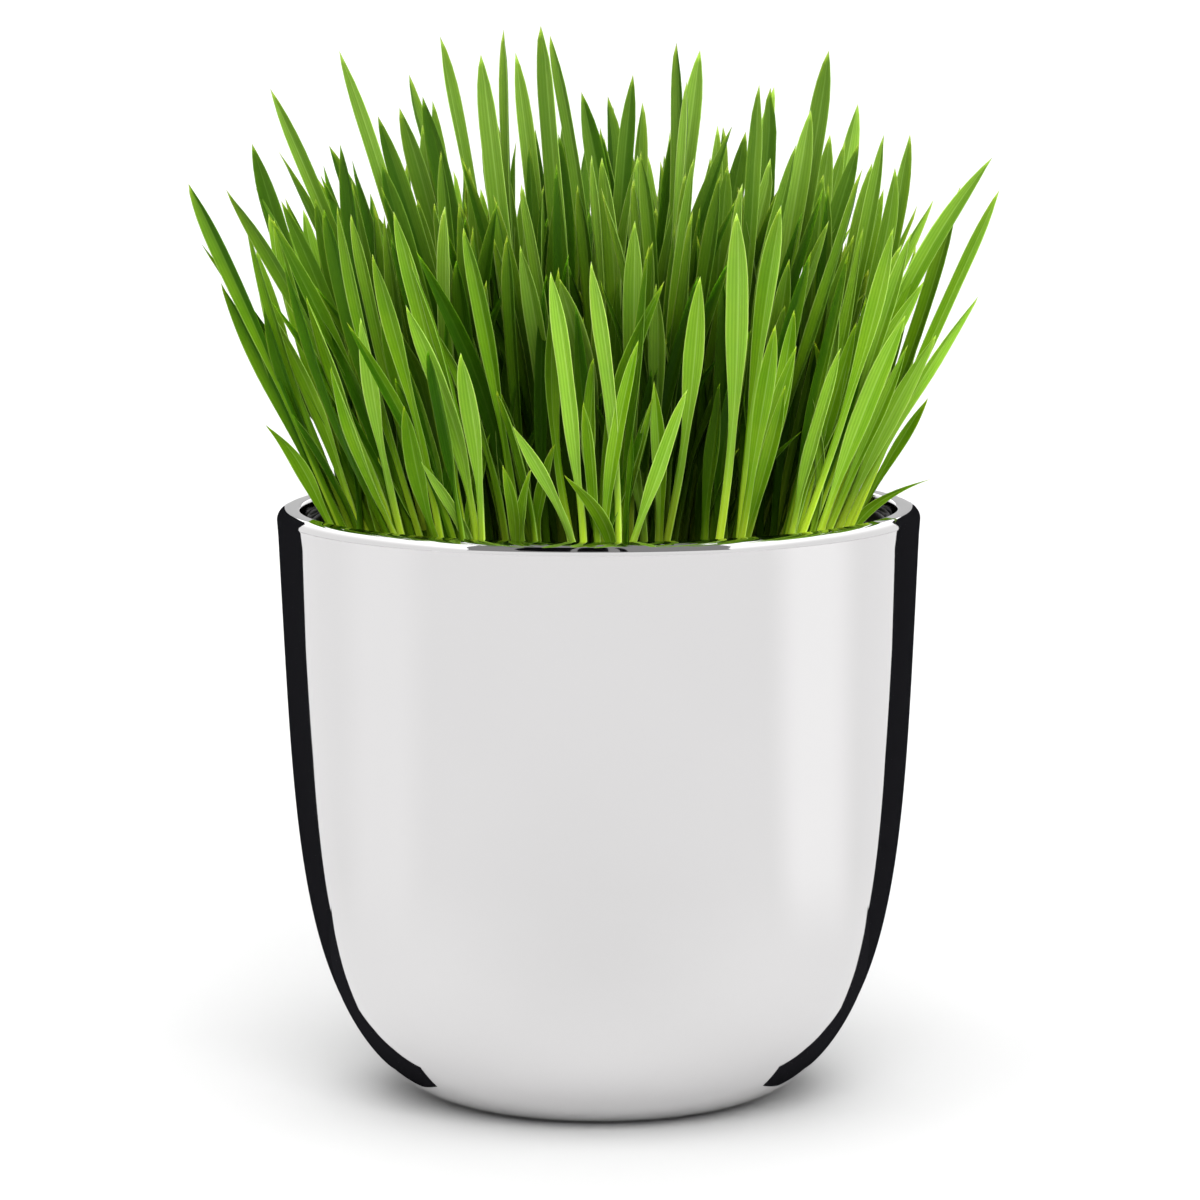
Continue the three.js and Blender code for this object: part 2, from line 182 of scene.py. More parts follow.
# Tips of the blades that make the outline against the white, x and y in pixels, left to right, and for a
# blade that arches out over the rim how strongly it does
OUTLINE_TIPS = [
    (192, 185), (229, 191), (256, 146), (275, 92), (278, 216), (223, 283), (266, 424, 4), (333, 148),
    (343, 55), (346, 147), (377, 213), (381, 119), (395, 234), (402, 111), (410, 78), (425, 100),
    (436, 104), (444, 41), (483, 59), (494, 108), (498, 184), (505, 34), (518, 57), (525, 191),
    (542, 31), (551, 40), (566, 185), (568, 105), (583, 96), (607, 100), (614, 110), (634, 79),
    (640, 154), (644, 106), (652, 179), (676, 48), (686, 85), (700, 55), (718, 129), (724, 130),
    (755, 89), (767, 92), (774, 91), (794, 239), (795, 148), (810, 114), (811, 187), (821, 177),
    (827, 56), (829, 138), (843, 233), (844, 145), (857, 108), (882, 138), (893, 171), (909, 138),
    (923, 283), (928, 399), (931, 480, 4), (933, 202), (936, 336), (946, 220), (978, 298), (990, 161, 3),
    (997, 193),
]

# Blades that stand in front: tip x, tip y, foot x at the rim, and width, in pixels
FRONT_BLADES = [
    (421, 461, 485, 13), (564, 475, 611, 16), (555, 444, 577, 14), (513, 426, 512, 17), (503, 465, 500, 12),
    (461, 353, 512, 24), (559, 278, 624, 26), (591, 263, 620, 19), (487, 281, 478, 15), (362, 318, 404, 18),
    (383, 290, 456, 17), (407, 306, 485, 20), (736, 215, 715, 22), (780, 208, 740, 21), (775, 326, 735, 18),
    (785, 386, 750, 16), (446, 208, 480, 18), (618, 415, 643, 16), (654, 382, 668, 15), (687, 390, 693, 17),
    (636, 294, 640, 20), (656, 285, 672, 18), (700, 278, 697, 20), (635, 223, 628, 20), (521, 247, 540, 19),
    (551, 273, 548, 18), (374, 255, 396, 18), (794, 311, 764, 17), (796, 347, 780, 16), (531, 469, 528, 12),
]

# Tones of the blades, with painted light and shade, from 0 for the darkest to 1 for the lightest, and how
# far a blade may stray from them
# Painted light: the blades in front are lighter, as if lit from the front
FRONT_LIT_TONE = 0.68
OUTLINE_TONE = 0.33
INNER_TONE = 0.36
# Painted shade: the extra blades that fill the bunches are darker, as if shaded by the others
EXTRA_SHADED_TONE = 0.14
TONE_STRAYING = (-0.35, 0.3)

# Painted light: the blades get lighter to the right, as if lit from the right, by this much from the middle
# of the pot to its edge
PAINTED_SIDE_LIGHT = 0.14

# Painted shade across the fold: the halves of a blade, on either side of its fold, differ from its own tone
# by up to so much, one lighter and one darker. The tone changes within a share of the blade's half width.
PAINTED_FOLD_SHADE = 0.17
FOLD_REACH = 0.25

# Shade inside the clump: shares of the field's reach, and heights above the rim, between which it fades
SHADED_REACH = 0.71
OPEN_REACH = 0.93
SHADED_HEIGHT = 18.0
OPEN_HEIGHT = 84.0
EXTRA_SHADE = 0.3

# Fine leaf mesh
BLADE_RINGS = 24
EXTRA_RINGS = 16
RING_CROWDING = 1.15
ACROSS = (-1.0, -0.8, -0.5, -0.18, 0.0, 0.18, 0.5, 0.8, 1.0)
LEAF_THICKNESS = 0.34
EDGE_THICKNESS = 0.12
THICKNESS_ROUNDNESS = 0.7
FULL_HALF_WIDTH = 1.2
FOLD_ROUNDNESS = 1.25
TIP_FOLD = 0.3
OPENING_SOFTNESS = (-0.06, 0.18)

# Waves of a blade: how far its middle and its edges stray, and by how many radians the waves turn from its
# foot to its tip. They set in between two shares of its length.
WOBBLE = 0.35
WOBBLE_TURN = 5
WOBBLE_SIDEWAYS = 0.4
WOBBLE_BEHIND = 0.5
EDGE_WAVE = 0.16
EDGE_WAVE_TURN = 17
EDGE_WAVE_SLANT = 1.5
WAVES_SET_IN = (0.15, 0.5)

# Values that each point of a blade carries for its material, and the places of a bunch's materials
POINT_VALUES = ("across", "along", "shade", "tone")
LEAF, ROOTS, HUSKS = range(3)


# Camera
def make_camera():
    pixels_per_radian = VIEW_DISTANCE / PHOTO_SCALE
    middle = PHOTO_SIZE / 2
    data = bpy.data.cameras.new("camera")
    data.sensor_width = SENSOR_WIDTH
    data.lens = pixels_per_radian * SENSOR_WIDTH / PHOTO_SIZE
    data.clip_start = 0.05
    data.clip_end = 50
    camera = bpy.data.objects.new("camera", data)
    bpy.context.scene.collection.objects.link(camera)
    pitch = VIEW_ELEVATION + math.atan((middle - PHOTO_RIM_CENTRE[1]) / pixels_per_radian)
    yaw = -math.atan((middle - PHOTO_RIM_CENTRE[0]) / pixels_per_radian)
    turn = Matrix.Rotation(yaw, 4, "Z") @ Matrix.Rotation(math.pi / 2 - pitch, 4, "X")
    turn = turn @ Matrix.Rotation(-VIEW_ROLL, 4, "Z")
    back = VIEW_DISTANCE * math.cos(VIEW_ELEVATION)
    up = POT_HEIGHT + VIEW_DISTANCE * math.sin(VIEW_ELEVATION)
    camera.matrix_world = Matrix.Translation(Vector((0, -back, up)) * MM) @ turn
    bpy.context.scene.camera = camera


make_camera()


# Node materials
class Nodes:
    """A short way to write a material's nodes."""

    def __init__(self, name):
        self.material = bpy.data.materials.new(name)
        self.material.use_nodes = True
        self.tree = self.material.node_tree
        self.shader = self.tree.nodes["Principled BSDF"]

    def add(self, kind, **inputs):
        node = self.tree.nodes.new(kind)
        for key, value in inputs.items():
            self.put(node.inputs[key.replace("_", " ")], value)
        return node

    def put(self, socket, value):
        if isinstance(value, bpy.types.NodeSocket):
            self.tree.links.new(value, socket)
        else:
            socket.default_value = value

    def set(self, **inputs):
        for key, value in inputs.items():
            self.put(self.shader.inputs[key.replace("_", " ")], value)

    def math(self, operation, first, second=0.0):
        node = self.tree.nodes.new("ShaderNodeMath")
        node.operation = operation
        self.put(node.inputs[0], first)
        self.put(node.inputs[1], second)
        return node.outputs[0]

    def ranged(self, value, low, high, to_low=0.0, to_high=1.0):
        node = self.tree.nodes.new("ShaderNodeMapRange")
        node.interpolation_type = "SMOOTHSTEP"
        for index, item in enumerate((value, low, high, to_low, to_high)):
            self.put(node.inputs[index], item)
        return node.outputs[0]

    def mix(self, share, first, second, blend="MIX"):
        node = self.tree.nodes.new("ShaderNodeMix")
        node.data_type = "RGBA"
        node.blend_type = blend
        self.put(node.inputs[0], share)
        self.put(node.inputs[6], first)
        self.put(node.inputs[7], second)
        return node.outputs[2]

    def place(self):
        return self.add("ShaderNodeTexCoord").outputs["Object"]

    def attribute(self, name):
        node = self.add("ShaderNodeAttribute")
        node.attribute_name = name
        return node.outputs["Fac"]

    def noise(self, scale, detail=3.0, vector=None):
        node = self.add("ShaderNodeTexNoise", Scale=scale, Detail=detail)
        self.put(node.inputs["Vector"], vector or self.place())
        return node.outputs["Fac"]

    def bump(self, height, strength, distance):
        node = self.add("ShaderNodeBump", Strength=strength, Distance=distance, Height=height)
        self.set(Normal=node.outputs["Normal"])


def rgba(red, green, blue):
    return (red, green, blue, 1.0)


def polished_metal():
    """A mirror finish, with faint clouds in its colour and polish, and painted light that brightens it
    towards the foot.
    """
    nodes = Nodes("polished_metal")
    cloud = nodes.noise(35.0)
    tint_and_painted_light = nodes.mix(cloud, rgba(0.611, 0.603, 0.605), rgba(0.628, 0.62, 0.622))
    height = nodes.add("ShaderNodeSeparateXYZ", Vector=nodes.place()).outputs["Z"]
    # Painted light: the colour brightens towards the foot, lifting the reflection of the shaded floor there
    tint_and_painted_light = nodes.mix(nodes.ranged(height, 0.004, 0.055, 0.75, 0.0), tint_and_painted_light, rgba(0.86, 0.85, 0.852))
    nodes.set(Metallic=1.0, Base_Color=tint_and_painted_light, Roughness=nodes.ranged(cloud, 0.35, 0.8, 0.02, 0.05))
    return nodes.material


def black_plastic():
    """Moulded plastic with a fine speckle."""
    nodes = Nodes("black_plastic")
    speck = nodes.noise(900.0)
    nodes.set(Base_Color=nodes.mix(speck, rgba(0.012, 0.012, 0.013), rgba(0.028, 0.028, 0.03)))
    nodes.set(Roughness=nodes.ranged(speck, 0.2, 0.8, 0.4, 0.6))
    nodes.bump(speck, 0.2, 0.0001)
    return nodes.material


def potting_soil():
    """Dark peat with lighter lumps and duller patches."""
    nodes = Nodes("potting_soil")
    lump = nodes.noise(260.0, 6.0)
    patch = nodes.noise(60.0)
    crumb = nodes.mix(nodes.ranged(lump, 0.4, 0.62), rgba(0.01, 0.007, 0.004), rgba(0.12, 0.078, 0.048))
    nodes.set(Base_Color=nodes.mix(nodes.ranged(patch, 0.45, 0.7), crumb, rgba(0.03, 0.02, 0.013)))
    nodes.set(Roughness=nodes.ranged(lump, 0.2, 0.8, 0.8, 1.0))
    nodes.bump(lump, 0.6, 0.0008)
    return nodes.material


def seed_husks():
    """Straw-coloured husks with a fine grain."""
    nodes = Nodes("seed_husks")
    grain = nodes.noise(500.0, 4.0)
    nodes.set(Base_Color=nodes.mix(grain, rgba(0.13, 0.075, 0.03), rgba(0.4, 0.28, 0.12)))
    nodes.set(Roughness=nodes.ranged(grain, 0.2, 0.8, 0.55, 0.8))
    nodes.bump(grain, 0.3, 0.0003)
    return nodes.material


def root_mat():
    """Dark soil shot through with pale root fibres."""
    nodes = Nodes("root_mat")
    fibre = nodes.noise(700.0, 6.0)
    pale = nodes.ranged(fibre, 0.45, 0.65)
    nodes.set(Base_Color=nodes.mix(pale, rgba(0.02, 0.013, 0.008), rgba(0.16, 0.11, 0.06)))
    nodes.set(Roughness=nodes.ranged(fibre, 0.2, 0.8, 0.8, 1.0))
    nodes.bump(fibre, 0.6, 0.0005)
    return nodes.material


def grass_leaf():
    """A leaf from dark green to lime by its tone and painted light, with a pale sheath and midrib, painted
    highlights, sheen and shade, and fine veins.
    """
    nodes = Nodes("grass_leaf")
    across = nodes.attribute("across")
    along = nodes.attribute("along")
    tone = nodes.math("POWER", nodes.attribute("tone"), 0.8)
    from_middle = nodes.math("ABSOLUTE", across)
    height = nodes.add("ShaderNodeSeparateXYZ", Vector=nodes.place()).outputs["Z"]
    blotch = nodes.noise(90.0)

    # Each colour runs from that of the darkest blade to that of the lightest
    plain = nodes.mix(tone, rgba(0.018, 0.066, 0.0004), rgba(0.205, 0.385, 0.01))
    deep = nodes.mix(tone, rgba(0.011, 0.046, 0.0003), rgba(0.125, 0.32, 0.005))
    # Painted sheen and shade high up in the grass: a greyer green, lighter on the darkest blades and darker
    # on the lightest
    painted_top_sheen_and_shade = nodes.mix(tone, rgba(0.033, 0.078, 0.007), rgba(0.185, 0.3, 0.05))
    # Pale: the leaf's own pale midrib colour, lifted to a painted highlight, and the painted highlight of
    # its edges
    pale = nodes.mix(tone, rgba(0.055, 0.14, 0.007), rgba(0.44, 0.64, 0.15))
    sheath = nodes.mix(nodes.ranged(tone, 0.0, 0.8), rgba(0.085, 0.18, 0.003), rgba(0.53, 0.73, 0.035))
    # Painted sheen: the lightest blades, lit most, turn paler and greyer
    painted_lit_sheen = rgba(0.225, 0.395, 0.055)
    between_veins = rgba(0.03, 0.09, 0.002)
    shaded = rgba(0.006, 0.02, 0.0003)

    # Blotches, painted sheen and shade high up in the grass, a painted sheen that pales the lightest
    # blades, and the sheath at the foot
    leaf = nodes.mix(nodes.ranged(blotch, 0.3, 0.7, 0.0, 0.6), plain, deep)
    leaf = nodes.mix(nodes.ranged(height, 0.15, 0.205, 0.0, 0.75), leaf, painted_top_sheen_and_shade)
    leaf = nodes.mix(nodes.ranged(tone, 0.5, 1.0, 0.0, 0.6), leaf, painted_lit_sheen)
    leaf = nodes.mix(nodes.ranged(along, 0.08, 0.42), sheath, leaf)

    # Veins, the midrib, a painted highlight on the edges, and painted shade inside the clump
    wave = nodes.math("SINE", nodes.math("MULTIPLY", across, 22.0))
    leaf = nodes.mix(nodes.ranged(wave, -1.0, 1.0, 0.0, 0.22), leaf, between_veins)
    # The pale midrib, partly the leaf's own colour and partly a painted highlight
    leaf = nodes.mix(nodes.ranged(from_middle, 0.02, 0.12, 0.3, 0.0), leaf, pale)
    # Painted highlight along the edges, where light catches and shines through them
    leaf = nodes.mix(nodes.ranged(from_middle, 0.86, 1.0, 0.0, 0.7), leaf, pale)
    leaf = nodes.mix(nodes.math("MULTIPLY", nodes.attribute("shade"), 0.9), leaf, shaded)

    nodes.set(Base_Color=leaf, Roughness=nodes.ranged(blotch, 0.2, 0.8, 0.36, 0.5))
    nodes.set(Subsurface_Weight=0.35, Subsurface_Scale=0.0007, Specular_IOR_Level=0.035)
    nodes.shader.inputs["Subsurface Radius"].default_value = (0.9, 1.0, 0.4)
    nodes.bump(wave, 0.12, 0.0001)
    return nodes.material


# Meshes
def make_mesh(name, points, faces, materials, face_materials=None, smooth=True):
    mesh = bpy.data.meshes.new(name)
    mesh.from_pydata((np.asarray(points) * MM).tolist(), [], faces)
    for material in materials:
        mesh.materials.append(material)
    if face_materials is not None:
        mesh.polygons.foreach_set("material_index", face_materials)
    mesh.polygons.foreach_set("use_smooth", [smooth] * len(mesh.polygons))
    mesh.validate()
    mesh.update()
    piece = bpy.data.objects.new(name, mesh)
    bpy.context.scene.collection.objects.link(piece)
    return piece


def make_piece(name, points, faces, materials, replaced, face_materials=None, smooth=True):
    piece = make_mesh(name, points, faces, materials, face_materials, smooth)
    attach(piece, "root")
    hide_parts(replaced)
    return piece


def set_attribute(piece, name, values):
    layer = piece.data.attributes.new(name, "FLOAT", "POINT")
    layer.data.foreach_set("value", np.asarray(values, dtype=np.float32))


def turned(profile, sides):
    """Points and faces of a solid of revolution. The profile starts and ends on the axis."""
    inner = profile[1:-1]
    points = [(0.0, 0.0, profile[0][1]), (0.0, 0.0, profile[-1][1])]
    for radius, height in inner:
        for side in range(sides):
            angle = 2 * math.pi * side / sides
            points.append((radius * math.cos(angle), radius * math.sin(angle), height))
    faces = []
    last = 2 + (len(inner) - 1) * sides
    for side in range(sides):
        after = (side + 1) % sides
        faces.append((0, 2 + after, 2 + side))
        faces.append((1, last + side, last + after))
        for ring in range(len(inner) - 1):
            low = 2 + ring * sides
            faces.append((low + side, low + after, low + sides + after, low + sides + side))
    return points, faces


# Pot
def wall_radius(radius_at_foot, radius_at_top, bottom, height):
    share = min(max((height - bottom) / (POT_HEIGHT - bottom), 0.0), 1.0)
    curve = math.sqrt(1 - (1 - share) ** BOTTOM_ROUNDNESS)
    return radius_at_foot + (radius_at_top - SIDE_TAPER - radius_at_foot) * curve + SIDE_TAPER * share


def outside_radius(height):
    return wall_radius(FOOT_RADIUS, RIM_RADIUS, 0.0, height)


def inside_radius(height):
    return wall_radius(FOOT_RADIUS - POT_WALL / 2, RIM_RADIUS - POT_WALL, POT_FLOOR, height)


def rounded_edge(centre_radius, centre_height, rounding, from_angle, to_angle):
    """Radii and heights of an arc, for a profile."""
    points = []
    for step in range(ROUNDING_STEPS + 1):
        angle = from_angle + (to_angle - from_angle) * step / ROUNDING_STEPS
        radius = centre_radius + rounding * math.cos(angle)
        height = centre_height + rounding * math.sin(angle)
        points.append((radius, height))
    return points


def make_pot():
    outer_side = POT_HEIGHT - RIM_OUTER_ROUNDING
    inner_side = POT_HEIGHT - RIM_INNER_ROUNDING
    steps = [(step / SIDE_STEPS) ** 2 for step in range(SIDE_STEPS)]
    profile = [(0.0, 0.0), (FOOT_RADIUS * 0.5, 0.0)]
    profile += [(outside_radius(outer_side * step), outer_side * step) for step in steps]
    profile += rounded_edge(RIM_RADIUS - RIM_OUTER_ROUNDING, outer_side, RIM_OUTER_ROUNDING, 0, math.pi / 2)
    inner_centre = RIM_RADIUS - POT_WALL + RIM_INNER_ROUNDING
    profile += rounded_edge(inner_centre, inner_side, RIM_INNER_ROUNDING, math.pi / 2, math.pi)
    for step in reversed(steps):
        height = POT_FLOOR + (inner_side - POT_FLOOR) * step
        profile.append((inside_radius(height), height))
    profile += [(FOOT_RADIUS * 0.5, POT_FLOOR), (0.0, POT_FLOOR)]
    points, faces = turned(profile, TURNED_SIDES)
    make_piece("polished_pot", points, faces, [polished_metal()], "pot")


# Grow pot
def grow_radius(height):
    share = (height - GROW_BOTTOM) / (GROW_TOP - GROW_BOTTOM)
    return GROW_FOOT_RADIUS + (GROW_MOUTH_RADIUS - GROW_FOOT_RADIUS) * share


def make_grow_pot():
    floor_top = GROW_BOTTOM + GROW_WALL
    lip_middle = GROW_TOP - GROW_LIP
    under_lip = lip_middle - GROW_LIP_HEIGHT
    foot_side = GROW_BOTTOM + GROW_FOOT_ROUNDING
    profile = [(0.0, GROW_BOTTOM), (GROW_FOOT_RADIUS - GROW_FOOT_ROUNDING, GROW_BOTTOM)]
    profile += [(GROW_FOOT_RADIUS + GROW_FOOT_FLARE, foot_side), (grow_radius(under_lip), under_lip)]
    lip_centre = GROW_MOUTH_RADIUS - GROW_LIP
    profile += rounded_edge(lip_centre, lip_middle, GROW_LIP, -GROW_LIP_CURL, math.pi + GROW_LIP_CURL)
    profile += [(grow_radius(under_lip) - GROW_WALL, under_lip)]
    profile += [(grow_radius(floor_top) - GROW_WALL, floor_top), (0.0, floor_top)]
    points, faces = turned(profile, TURNED_SIDES // 2)
    piece = make_piece("nursery_pot", points, faces, [black_plastic()], "grow_pot")
    for hole in range(DRAIN_HOLE_COUNT):
        angle = 2 * math.pi * hole / DRAIN_HOLE_COUNT
        drill(piece, DRAIN_HOLE_CIRCLE * math.cos(angle), DRAIN_HOLE_CIRCLE * math.sin(angle))


def drill(piece, x, y):
    """Cuts one drain hole through the floor of the grow pot."""
    below = GROW_BOTTOM - DRILL_OVERRUN
    above = GROW_BOTTOM + GROW_WALL + DRILL_OVERRUN
    profile = [(0, below), (DRAIN_HOLE_RADIUS, below), (DRAIN_HOLE_RADIUS, above), (0, above)]
    points, faces = turned(profile, DRAIN_HOLE_SIDES)
    points = [(x + px, y + py, pz) for px, py, pz in points]
    cutter = make_mesh("drill", points, faces, [], smooth=False)
    cut = piece.modifiers.new("hole", "BOOLEAN")
    cut.operation = "DIFFERENCE"
    cut.object = cutter
    bpy.context.view_layer.objects.active = piece
    bpy.ops.object.modifier_apply(modifier=cut.name)
    bpy.data.objects.remove(cutter)


# Random numbers
def seeded_random(seed):
    state = seed
    while True:
        state = (state * 48271) % 2147483647
        yield state / 2147483647


def drawing(seed):
    """A function that draws a number between two others, the same ones each time that the script runs."""
    numbers = seeded_random(seed)
    return lambda low=0.0, high=1.0: low + (high - low) * next(numbers)


# Grass, by the same rule as the solids
def spread(height):
    return 1 + SPREAD_PER_MILLIMETRE * (height - SOIL_HEIGHT)


def place_bunches():
    golden_angle = math.pi * (3 - math.sqrt(5))
    bunches = []
    for index in range(BUNCH_COUNT):
        radius = BUNCH_FIELD_RADIUS * math.sqrt((index + 0.5) / BUNCH_COUNT)
        angle = index * golden_angle
        bunches.append({
            "u": radius * math.cos(angle),
            "v": radius * math.sin(angle),
            "facing": BUNCH_TURN * math.sin(index * BUNCH_TURN_STEP),
            "blades": [],
        })
    for bunch in bunches:
        bunch["neighbours"] = [
            (other["u"] - bunch["u"], other["v"] - bunch["v"])
            for other in bunches
            if 0 < math.hypot(other["u"] - bunch["u"], other["v"] - bunch["v"]) < NEIGHBOUR_REACH
        ]
    return bunches


def point_at_pixel(pixel_x, pixel_y, depth):
    """The point at a chosen depth that the view shows at a pixel."""
    scale = PHOTO_SCALE * (VIEW_DISTANCE + depth) / VIEW_DISTANCE
    up = (PHOTO_RIM_CENTRE[1] - pixel_y) * scale
    height = (up - depth * math.sin(VIEW_ELEVATION)) / math.cos(VIEW_ELEVATION)
    return (pixel_x - PHOTO_RIM_CENTRE[0]) * scale, depth, POT_HEIGHT + height


def nearest_bunch(bunches, u, v):
    return min(bunches, key=lambda bunch: math.hypot(bunch["u"] - u, bunch["v"] - v))


def draw_point(between, reach):
    """A point at a random angle round the middle, up to so far away."""
    angle = between(0, 2 * math.pi)
    distance = reach * math.sqrt(between(0, 1))
    return distance * math.cos(angle), distance * math.sin(angle)


def root_under(lean, straying):
    """Where in its bunch a blade stands whose tip leans so far, never outside the root disc."""
    root = [lean[axis] * ROOT_SHARE + straying[axis] for axis in (0, 1)]
    share = min(1.0, ROOT_DISC_RADIUS / max(math.hypot(*root), 0.01))
    return root[0] * share, root[1] * share


def middle_at(blade, height):
    """Where a blade's middle is at a height, measured from its bunch as at the height of the soil."""
    bottom = SOIL_HEIGHT - ROOT_SINK
    share = min(max((height - bottom) / (blade["tip_height"] - bottom), 0.0), 1.0)
    bend = share ** blade["arching"]
    bowed = math.sin(math.pi * share)
    root, tip, bow = blade["root"], blade["tip"], blade["bow"]
    return tuple(root[axis] + (tip[axis] - root[axis]) * bend + bow[axis] * bowed for axis in (0, 1))


def room_beside(bunch, blade):
    """How far a blade stands from the others of its bunch, in blade widths or fold depths."""
    room = ROOM_ENOUGH
    for other in bunch["blades"]:
        for height in COMPARED_HEIGHTS:
            if height > min(blade["tip_height"], other["tip_height"]):
                continue
            size = spread(height)
            here = middle_at(blade, height)
            there = middle_at(other, height)
            apart = ((there[0] - here[0]) * size, (there[1] - here[1]) * size)
            facing = (blade["facing"] + other["facing"]) / 2
            sideways = abs(apart[0] * math.cos(facing) + apart[1] * math.sin(facing))
            behind = abs(apart[1] * math.cos(facing) - apart[0] * math.sin(facing))
            low = height < COMPARED_HEIGHTS[1]
            width = SHEATH_WIDTH if low else (blade["width"] + other["width"]) / 2
            room = min(room, max(sideways / width, behind / (BLADE_DEPTH + GAP)))
    return room


def place_by_pixel(bunches, pixel, depths, reach, make_blade):
    """Of the points on a line of sight, takes the one whose bunch has few blades and much room."""
    best = None
    for depth in range(depths[0], depths[1] + 1, DEPTH_STEP):
        x, y, z = point_at_pixel(pixel[0], pixel[1], depth)
        u = x / spread(z)
        v = y / spread(z)
        bunch = nearest_bunch(bunches, u, v)
        blade = make_blade(bunch, (u - bunch["u"], v - bunch["v"]), z)
        outside = max(0.0, math.hypot(u, v) - reach)
        score = len(bunch["blades"]) + STRAYING * outside - CROWDING * room_beside(bunch, blade)
        if best is None or score < best[0]:
            best = (score, bunch, blade)
    best[1]["blades"].append(best[2])


def draw_habit(between):
    """What sets one blade apart from another, wherever it grows."""
    return {
        "width": between(NARROWEST, WIDEST),
        "opening": between(*OPENINGS),
        "twist": between(-TWIST, TWIST),
        "arching": between(*ARCHINGS),
        "bow": draw_point(between, BOW_REACH),
    }


def grow_front_blades(bunches, between):
    for tip_x, tip_y, foot_x, width in FRONT_BLADES:
        turn = between(-TURN, TURN)
        root_depth = between(0.2, 1)
        habit = draw_habit(between)

        def front_blade(bunch, tip, tip_height):
            wanted = (foot_x - PHOTO_RIM_CENTRE[0]) * PHOTO_SCALE * RIM_NEARNESS - bunch["u"]
            root_u = min(max(wanted, -ROOT_DISC_RADIUS), ROOT_DISC_RADIUS)
            root_v = -root_depth * math.sqrt(ROOT_DISC_RADIUS ** 2 - root_u ** 2)
            return {
                **habit,
                "root": (root_u, root_v),
                "tip": tip,
                "tip_height": tip_height,
                "width": width * PHOTO_SCALE,
                "facing": bunch["facing"] / 2 + turn,
                "tone": FRONT_LIT_TONE,
                "front": True,
            }

        place_by_pixel(bunches, (tip_x, tip_y), FRONT_DEPTHS, FRONT_REACH, front_blade)


def grow_outline_blades(bunches, between):
    for tip_x, tip_y, *arch in OUTLINE_TIPS:
        turn = between(-TURN, TURN)
        straying = draw_point(between, ROOT_STRAYING)
        habit = draw_habit(between)

        def outline_blade(bunch, tip, tip_height):
            return {
                **habit,
                "root": root_under(tip, straying),
                "tip": tip,
                "tip_height": tip_height,
                "facing": bunch["facing"] + turn,
                "arching": arch[0] if arch else habit["arching"],
                "tone": OUTLINE_TONE,
            }

        place_by_pixel(bunches, (tip_x, tip_y), OUTLINE_DEPTHS, OUTLINE_REACH, outline_blade)


def tallest_of(bunch):
    """Height above the rim that the tallest random blade of a bunch may have."""
    from_centre = math.hypot(bunch["u"], bunch["v"]) / BUNCH_FIELD_RADIUS
    return TALLEST_ABOVE_RIM - TALLEST_DROP * from_centre ** 2


def random_blade(bunch, between):
    """One blade of a bunch, with its tip at a random place and height."""
    tip = draw_point(between, LEAN_REACH)
    return {
        "root": root_under(tip, draw_point(between, ROOT_STRAYING)),
        "tip": tip,
        "tip_height": POT_HEIGHT + between(SHORTEST_SHARE, 1) * tallest_of(bunch),
        "facing": bunch["facing"] + between(-INNER_TURN, INNER_TURN),
        "tone": INNER_TONE,
        **draw_habit(between),
    }


def fill_bunch(bunch, between):
    """Adds blades until the bunch is full. Each takes the roomiest of several random places."""
    while len(bunch["blades"]) < BLADES_PER_BUNCH:
        best = None
        for _ in range(PLACING_ATTEMPTS):
            blade = random_blade(bunch, between)
            room = room_beside(bunch, blade)
            if best is None or room > best[0]:
                best = (room, blade)
        bunch["blades"].append(best[1])


def extra_blade(bunch, between):
    """A thinner blade, free to lean over other bunches. It stands behind the front blades of its own."""
    habit = draw_habit(between)
    tall = between(*EXTRA_SHARES)
    root = draw_point(between, EXTRA_ROOT_REACH)
    tip = draw_point(between, EXTRA_LEAN)
    if any("front" in blade for blade in bunch["blades"]):
        root = (root[0], abs(root[1]))
        tip = (tip[0], abs(tip[1]))
    return {
        **habit,
        "root": root,
        "tip": tip,
        "tip_height": POT_HEIGHT + tall * tallest_of(bunch),
        "width": habit["width"] * blend(EXTRA_THINNING, 1.0, tall),
        "facing": bunch["facing"] / 2 + between(-EXTRA_TURN, EXTRA_TURN),
        "bow": draw_point(between, EXTRA_BOW),
        "point_length": EXTRA_POINT_LENGTH,
        "tone": EXTRA_SHADED_TONE,
        "free": True,
    }


def grow_blades(bunches):
    between = drawing(RANDOM_SEED)
    grow_front_blades(bunches, between)
    grow_outline_blades(bunches, between)
    for bunch in bunches:
        fill_bunch(bunch, between)
    between = drawing(EXTRA_SEED)
    for bunch in bunches:
        bunch["blades"] += [extra_blade(bunch, between) for _ in range(EXTRA_BLADES)]


# Fine blades
def smoothstep(value, low, high):
    share = min(max((value - low) / (high - low), 0.0), 1.0)
    return share * share * (3 - 2 * share)


def blend(first, second, share):
    return first + (second - first) * share


def point_share(blade):
    length = blade["tip_height"] - (SOIL_HEIGHT - ROOT_SINK)
    return min(LONGEST_POINT, blade.get("point_length", POINT_LENGTH) / length)


def blade_width(blade, share):
    pointed = max(0.0, 1 - (1 - share) / point_share(blade))
    leaf = blade["width"] * (1 - pointed ** POINT_BLUNTNESS)
    opened = smoothstep(share, blade["opening"], blade["opening"] + OPENING_LENGTH)
    return blend(min(SHEATH_WIDTH, leaf), leaf, opened)


